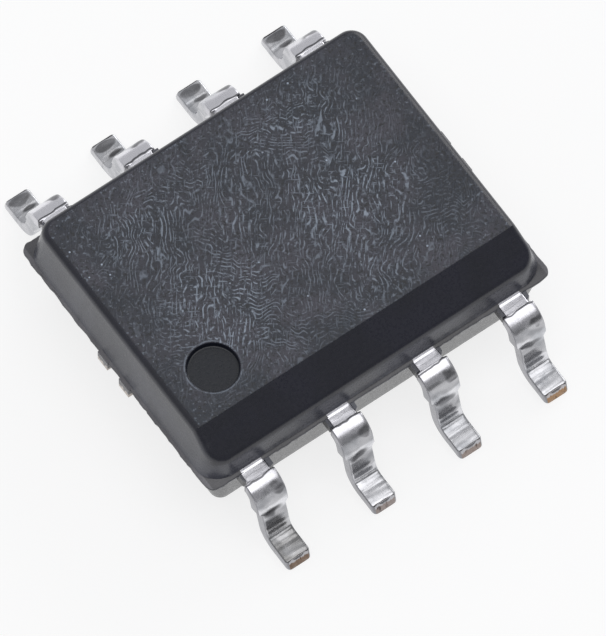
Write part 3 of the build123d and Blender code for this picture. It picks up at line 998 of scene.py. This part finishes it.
faces = np.array([(0, 2, 3, 1), (4, 5, 7, 6), (0, 1, 5, 4), (2, 6, 7, 3), (0, 4, 6, 2), (1, 3, 7, 5)])
mirrored = (flash_side * flash_row < 0)[:, None, None]
faces = np.where(mirrored, faces[None, :, ::-1], faces[None])
blocks = len(verts) + np.arange(16)[:, None, None] * 8 + faces
verts = np.concatenate([verts, np.stack([block_x, block_y, block_z], axis=-1).reshape(-1, 3)])
quads = np.concatenate([quads, blocks.reshape(-1, 4)])

COMPOUND = (0.017, 0.022, 0.035, 1.0)
COMPOUND_SMOOTH = (0.015, 0.016, 0.029, 1.0)
# Wall and lower-half colours are painted light.
COMPOUND_WALL_PAINTED_LIGHT = (0.115, 0.119, 0.147, 1.0)
COMPOUND_LOWER_PAINTED_LIGHT = (0.090, 0.089, 0.098, 1.0)
# Ledge colours are painted light.
COMPOUND_LEDGE_PAINTED_LIGHT = (0.11, 0.108, 0.118, 1.0)
COMPOUND_END_LEDGE_PAINTED_LIGHT = (0.22, 0.215, 0.235, 1.0)
# Dimple colour is painted shade.
COMPOUND_DIMPLE_PAINTED_SHADE = (0.0005, 0.003, 0.010, 1.0)
COMPOUND_CLOUD = (0.070, 0.066, 0.086, 1.0)
COMPOUND_DARK = (0.008, 0.009, 0.013, 1.0)
FILLER = (0.43, 0.50, 0.61, 1.0)
GRIND_TURN = math.radians(-54.7)


def compound_finish():
    """Black epoxy full of silica: smooth on walls, bevel and dimple, ground and specked on the top face,
    with crossed scratches, short broken strokes, faint clouds and pale grains of filler. Walls, lower half
    and ledge are painted paler than the bevel as painted light, a dark line along the ledge at the ends and
    the dimple floor are painted shade, and a broken pale ring round the dimple is a painted highlight."""
    finish, tree, shader = new_finish("moulding_compound")
    shader.inputs["IOR"].default_value = 1.6
    x, y, z = axes_of(tree, scaled_place(tree))
    on_top = ramp(tree, z, BODY_TOP - 0.006, BODY_TOP - 0.001)

    cloud = noise(tree, 1.3, detail=5.0, roughness=0.6, warp=0.4)
    grain = noise(tree, 26.0, detail=4.0, roughness=0.65)
    along = noise(tree, (5.0, 38.0, 20.0), detail=3.0, roughness=0.6, turn=GRIND_TURN)
    cross = noise(tree, (38.0, 5.0, 20.0), detail=3.0, roughness=0.6, turn=GRIND_TURN)
    scratch = greatest(tree, ramp(tree, along, 0.56, 0.68), ramp(tree, cross, 0.60, 0.70))
    turned = axes_of(tree, scaled_place(tree, turn=GRIND_TURN))
    worm = times(tree, noise(tree, (1.5, 2.2, 1.8), detail=2.0, turn=GRIND_TURN, warp=0.3), 11.0)
    upright = sums(tree, "ADD", times(tree, turned[1], 16.0), worm)
    level = sums(tree, "ADD", times(tree, turned[0], 16.0), worm)
    pair = []
    for phase in (upright, level):
        off_line = apart(tree, sums(tree, "FRACT", phase), 0.5)
        pair.append(ramp(tree, off_line, 0.07, 0.21, 1.0, 0.0))
    crossing = ramp(tree, noise(tree, 1.0, detail=1.0), 0.50, 0.56)
    lines = sums(tree, "ADD", times(tree, pair[0], sums(tree, "SUBTRACT", 1.0, crossing)),
                 times(tree, pair[1], crossing))
    broken = ramp(tree, noise(tree, (13.0, 16.0, 12.0), detail=4.0, turn=GRIND_TURN), 0.42, 0.60)
    patches = ramp(tree, noise(tree, 0.75, detail=2.0), 0.32, 0.58, 0.45, 1.0)
    inward_x = ramp(tree, apart(tree, x), 1.35, 2.30, 1.0, 0.12)
    inward_y = ramp(tree, apart(tree, y, 0.1), 0.90, 1.75, 1.0, 0.15)
    spread = times(tree, patches, times(tree, inward_x, inward_y))
    etched = times(tree, times(tree, lines, broken), spread)
    fleck = ramp(tree, noise(tree, 20.0, detail=3.0), 0.56, 0.70)
    fleck = times(tree, fleck, patches)

    tone = times(tree, on_top, ramp(tree, cloud, 0.35, 0.68, 0.0, 0.8))
    # Dimple floor painted near black: painted shade in the recess.
    in_dimple = blotch(tree, x, y, DIMPLE_AT, (DIMPLE_R, DIMPLE_R), 0.03)
    in_dimple = times(tree, in_dimple, ramp(tree, z, 1.5, 1.55))
    # Walls and lower half painted paler than the bevel of the same compound: painted light.
    at_end = ramp(tree, apart(tree, x), 2.33, 2.41)
    low = ramp(tree, z, 1.30, 1.37, 1.0, 0.0)
    lower = ramp(tree, z, 0.985, 1.0, 1.0, 0.0)
    colour = blended(tree, greatest(tree, at_end, low), COMPOUND_SMOOTH, COMPOUND_WALL_PAINTED_LIGHT)
    colour = blended(tree, lower, colour, COMPOUND_LOWER_PAINTED_LIGHT)
    # Ledge top painted paler, most at the ends: painted light over the shade where it meets the wall.
    shelf = times(tree, ramp(tree, z, 1.046, 1.051), ramp(tree, z, 1.058, 1.064, 1.0, 0.0))
    colour = blended(tree, shelf, colour, COMPOUND_LEDGE_PAINTED_LIGHT)
    past_end = ramp(tree, apart(tree, x), 2.455, 2.470)
    colour = blended(tree, times(tree, shelf, past_end), colour, COMPOUND_END_LEDGE_PAINTED_LIGHT)
    # Painted shade: a dark line along the side of the ledge at the ends.
    painted_ledge_shade = times(tree, ramp(tree, z, 1.000, 1.006), ramp(tree, z, 1.040, 1.048, 1.0, 0.0))
    colour = blended(tree, times(tree, painted_ledge_shade, past_end), colour, COMPOUND_DARK)
    colour = blended(tree, times(tree, ramp(tree, cloud, 0.62, 0.40), 0.35), colour, COMPOUND_DARK)
    colour = blended(tree, in_dimple, colour, COMPOUND_DIMPLE_PAINTED_SHADE)
    colour = blended(tree, on_top, colour, COMPOUND)
    colour = blended(tree, tone, colour, COMPOUND_CLOUD)
    dark = times(tree, ramp(tree, grain, 0.5, 0.36), on_top)
    colour = blended(tree, dark, colour, COMPOUND_DARK)
    # Painted highlight: a broken pale ring just outside the dimple's rim.
    flat = part_of(tree, "ShaderNodeCombineXYZ", {0: x, 1: y}).outputs[0]
    ends = {0: flat, 1: (*DIMPLE_AT, 0.0)}
    from_dimple = part_of(tree, "ShaderNodeVectorMath", ends, operation="DISTANCE")
    off_rim = apart(tree, from_dimple.outputs["Value"], DIMPLE_R + 0.028)
    rim = times(tree, ramp(tree, off_rim, 0.004, 0.012, 0.32, 0.0),
                ramp(tree, broken, 0.0, 0.5, 0.35, 1.0))
    pale = greatest(tree, times(tree, scratch, times(tree, spread, 0.60)),
                    times(tree, etched, 0.72), times(tree, fleck, 0.34), rim)
    colour = blended(tree, times(tree, pale, on_top), colour, FILLER)

    grains = part_of(tree, "ShaderNodeTexVoronoi", {
        "Vector": scaled_place(tree, 9.0), "Scale": 1.0, "Randomness": 1.0,
    }).outputs
    chosen = part_of(tree, "ShaderNodeSeparateColor", {0: grains["Color"]}).outputs[0]
    speck = times(tree, ramp(tree, grains["Distance"], 0.08, 0.15, 1.0, 0.0),
                 ramp(tree, chosen, 0.84, 0.98))
    colour = blended(tree, times(tree, speck, on_top), colour, FILLER)

    rough = ramp(tree, grain, 0.3, 0.7, 0.24, 0.34)
    rough_top = ramp(tree, sums(tree, "ADD", grain, cloud), 0.7, 1.3, 0.40, 0.62)
    rough = part_of(tree, "ShaderNodeMix", {"Factor": on_top, "A": rough, "B": rough_top})
    dress(tree, shader, colour, rough.outputs["Result"])

    skin = relief(tree, shader, grain, 1.2)
    ground = sums(tree, "ADD", sums(tree, "ADD", scratch, etched), times(tree, grain, 1.4))
    relief(tree, shader, times(tree, ground, on_top), 4.0, after=skin)
    return finish


compound = compound_finish()
moulding = mesh_of("moulding", verts, quads, np.zeros((0, 3), int), compound)
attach(moulding, "root")
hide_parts("mould_body")
